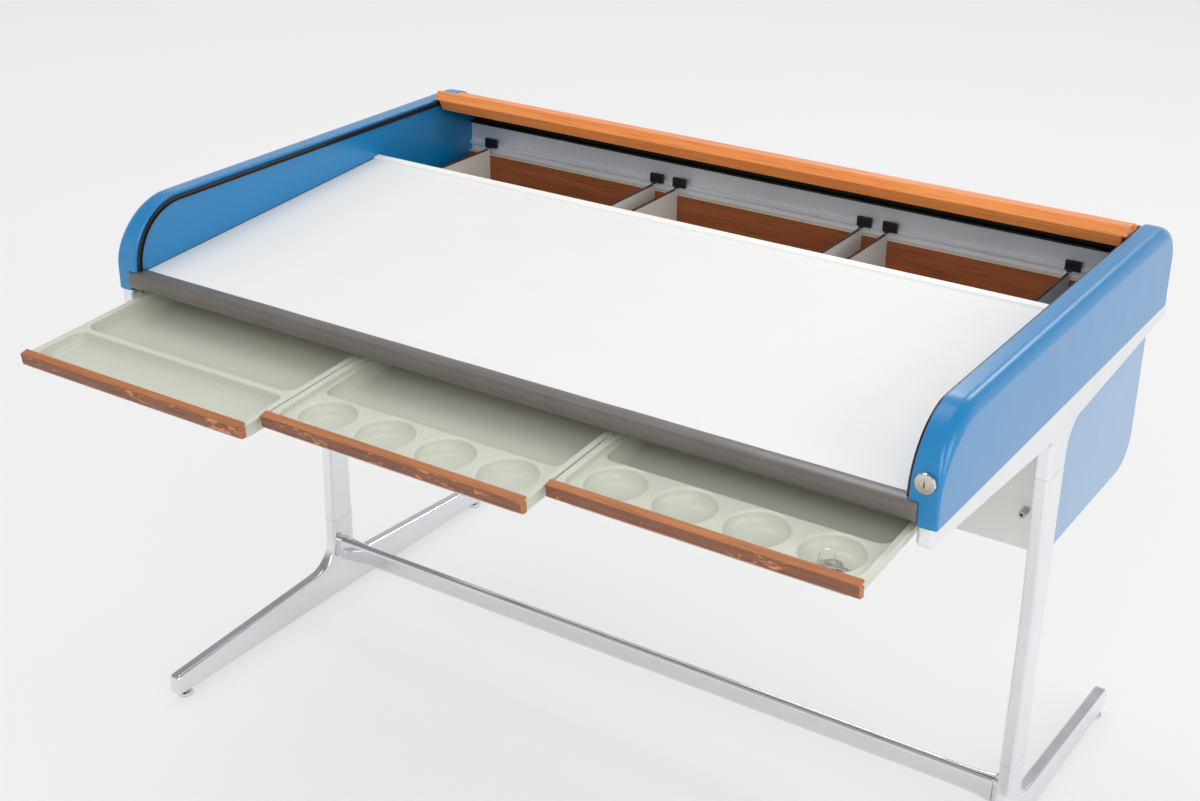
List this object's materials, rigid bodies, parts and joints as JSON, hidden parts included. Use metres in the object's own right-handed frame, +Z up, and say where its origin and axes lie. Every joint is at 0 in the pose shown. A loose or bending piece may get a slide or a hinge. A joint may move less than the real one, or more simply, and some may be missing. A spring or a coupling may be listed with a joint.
{
  "type": "office desk",
  "caption": "Office desk with a sloping worktop between rounded end panels, sliding pencil trays, a tambour bar over a file bin, and cast T-shaped legs joined by a foot rail.",
  "frame": {"origin": "on the floor, under the middle of the bounding box with the trays as in the picture", "axes": "+X to the sitter's right, +Y from the sitter to the back, +Z up"},
  "size_m": [1.245, 1.0091, 0.8357],
  "materials": {
    "blue_lacquer": "semi-gloss blue lacquer",
    "track_black": "black extrusion",
    "white_laminate": "satin laminate",
    "worktop_core": "particle board",
    "ivory_strip": "satin",
    "grey_vinyl": "soft padded vinyl",
    "tray_grey": "moulded, semi-gloss",
    "pull_wood": "worn oiled wood",
    "rail_grey": "grey enamel",
    "leg_aluminium": "polished casting",
    "foot_rail_chrome": "chrome plate",
    "glide_nickel": "nickel plate",
    "bin_grey": "light grey enamel",
    "bin_blue": "semi-gloss blue lacquer",
    "walnut": "satin walnut veneer",
    "file_aluminium": "satin anodised",
    "divider_white": "rigid sheet",
    "clip_black": "moulded",
    "tambour_wood": "clear lacquer",
    "canvas": "glued canvas",
    "lock_nickel": "nickel plate",
    "key_steel": "worn nickel plate"
  },
  "bodies": {
    "frame": {"left_foot": "leg_aluminium", "left_upright": "leg_aluminium", "left_arm": "leg_aluminium", "left_end_panel": "blue_lacquer", "left_tambour_track": "track_black", "bin_left_end": "bin_blue", "right_foot": "leg_aluminium", "right_upright": "leg_aluminium", "right_arm": "leg_aluminium", "right_end_panel": "blue_lacquer", "right_tambour_track": "track_black", "bin_right_end": "bin_blue", "foot_rail": "foot_rail_chrome", "worktop_board": "worktop_core", "worktop_laminate": "white_laminate", "worktop_back_strip": "ivory_strip", "armrest": "grey_vinyl", "bin_front": "bin_grey", "bin_bottom": "bin_grey", "walnut_partition": "walnut", "bin_studs": "lock_nickel", "file_rail": "file_aluminium", "front_file_rail": "file_aluminium", "tambour_back_slats": "tambour_wood", "lock_housing": "lock_nickel", "tray_rail_1": "rail_grey", "tray_rail_2": "rail_grey", "tray_rail_3": "rail_grey", "tray_rail_4": "rail_grey"},
    "left_tray": {"left_tray": "tray_grey", "left_pull": "pull_wood"},
    "middle_tray": {"middle_tray": "tray_grey", "middle_pull": "pull_wood"},
    "right_tray": {"right_tray": "tray_grey", "right_pull": "pull_wood", "keys": "key_steel"},
    "tambour": {"tambour_lead_bar": "tambour_wood", "tambour_guides": "track_black", "tambour_canvas": "canvas"},
    "lock": {"lock_plug": "lock_nickel", "lock_cam": "lock_nickel"},
    "divider_1": {"divider_1": "divider_white", "divider_clip_1": "clip_black"},
    "divider_2": {"divider_2": "divider_white", "divider_clip_2": "clip_black"},
    "divider_3": {"divider_3": "divider_white", "divider_clip_3": "clip_black"},
    "divider_4": {"divider_4": "divider_white", "divider_clip_4": "clip_black"},
    "divider_5": {"divider_5": "divider_white", "divider_clip_5": "clip_black"},
    "divider_6": {"divider_6": "divider_white", "divider_clip_6": "clip_black"},
    "glide_front_left": {"glide_front_left": "glide_nickel"},
    "glide_rear_left": {"glide_rear_left": "glide_nickel"},
    "glide_front_right": {"glide_front_right": "glide_nickel"},
    "glide_rear_right": {"glide_rear_right": "glide_nickel"}
  },
  "joints": [
    {"name": "left_tray_slide", "type": "slide", "parent": "frame", "child": "left_tray", "axis": [0, -0.9973, -0.0731], "range_m": [-0.186, 0.064]},
    {"name": "middle_tray_slide", "type": "slide", "parent": "frame", "child": "middle_tray", "axis": [0, -0.9973, -0.0731], "range_m": [-0.15, 0.1]},
    {"name": "right_tray_slide", "type": "slide", "parent": "frame", "child": "right_tray", "axis": [0, -0.9973, -0.0731], "range_m": [-0.105, 0.145]},
    {"name": "tambour_slide", "type": "slide", "parent": "frame", "child": "tambour", "axis": [0, -1, 0], "range_m": [0, 0.585], "deforming": ["tambour_canvas"]},
    {"name": "lock_turn", "type": "hinge", "parent": "frame", "child": "lock", "pos_m": [0.60425, -0.30039, 0.752], "axis": [0, -1, 0], "range_deg": [0, 90]},
    {"name": "divider_1_slide", "type": "slide", "parent": "frame", "child": "divider_1", "axis": [1, 0, 0], "range_m": [-0.025, 0.14]},
    {"name": "divider_2_slide", "type": "slide", "parent": "frame", "child": "divider_2", "axis": [1, 0, 0], "range_m": [-0.14, 0.008]},
    {"name": "divider_3_slide", "type": "slide", "parent": "frame", "child": "divider_3", "axis": [1, 0, 0], "range_m": [-0.005, 0.14]},
    {"name": "divider_4_slide", "type": "slide", "parent": "frame", "child": "divider_4", "axis": [1, 0, 0], "range_m": [-0.14, 0.005]},
    {"name": "divider_5_slide", "type": "slide", "parent": "frame", "child": "divider_5", "axis": [1, 0, 0], "range_m": [-0.005, 0.12]},
    {"name": "divider_6_slide", "type": "slide", "parent": "frame", "child": "divider_6", "axis": [1, 0, 0], "range_m": [-0.12, 0.065]},
    {"name": "glide_front_left_turn", "type": "hinge", "parent": "frame", "child": "glide_front_left", "pos_m": [-0.609, -0.27339, 0], "axis": [0, 0, 1], "continuous": true},
    {"name": "glide_rear_left_turn", "type": "hinge", "parent": "frame", "child": "glide_rear_left", "pos_m": [-0.609, 0.48261, 0], "axis": [0, 0, 1], "continuous": true},
    {"name": "glide_front_right_turn", "type": "hinge", "parent": "frame", "child": "glide_front_right", "pos_m": [0.609, -0.27339, 0], "axis": [0, 0, 1], "continuous": true},
    {"name": "glide_rear_right_turn", "type": "hinge", "parent": "frame", "child": "glide_rear_right", "pos_m": [0.609, 0.48261, 0], "axis": [0, 0, 1], "continuous": true}
  ]
}
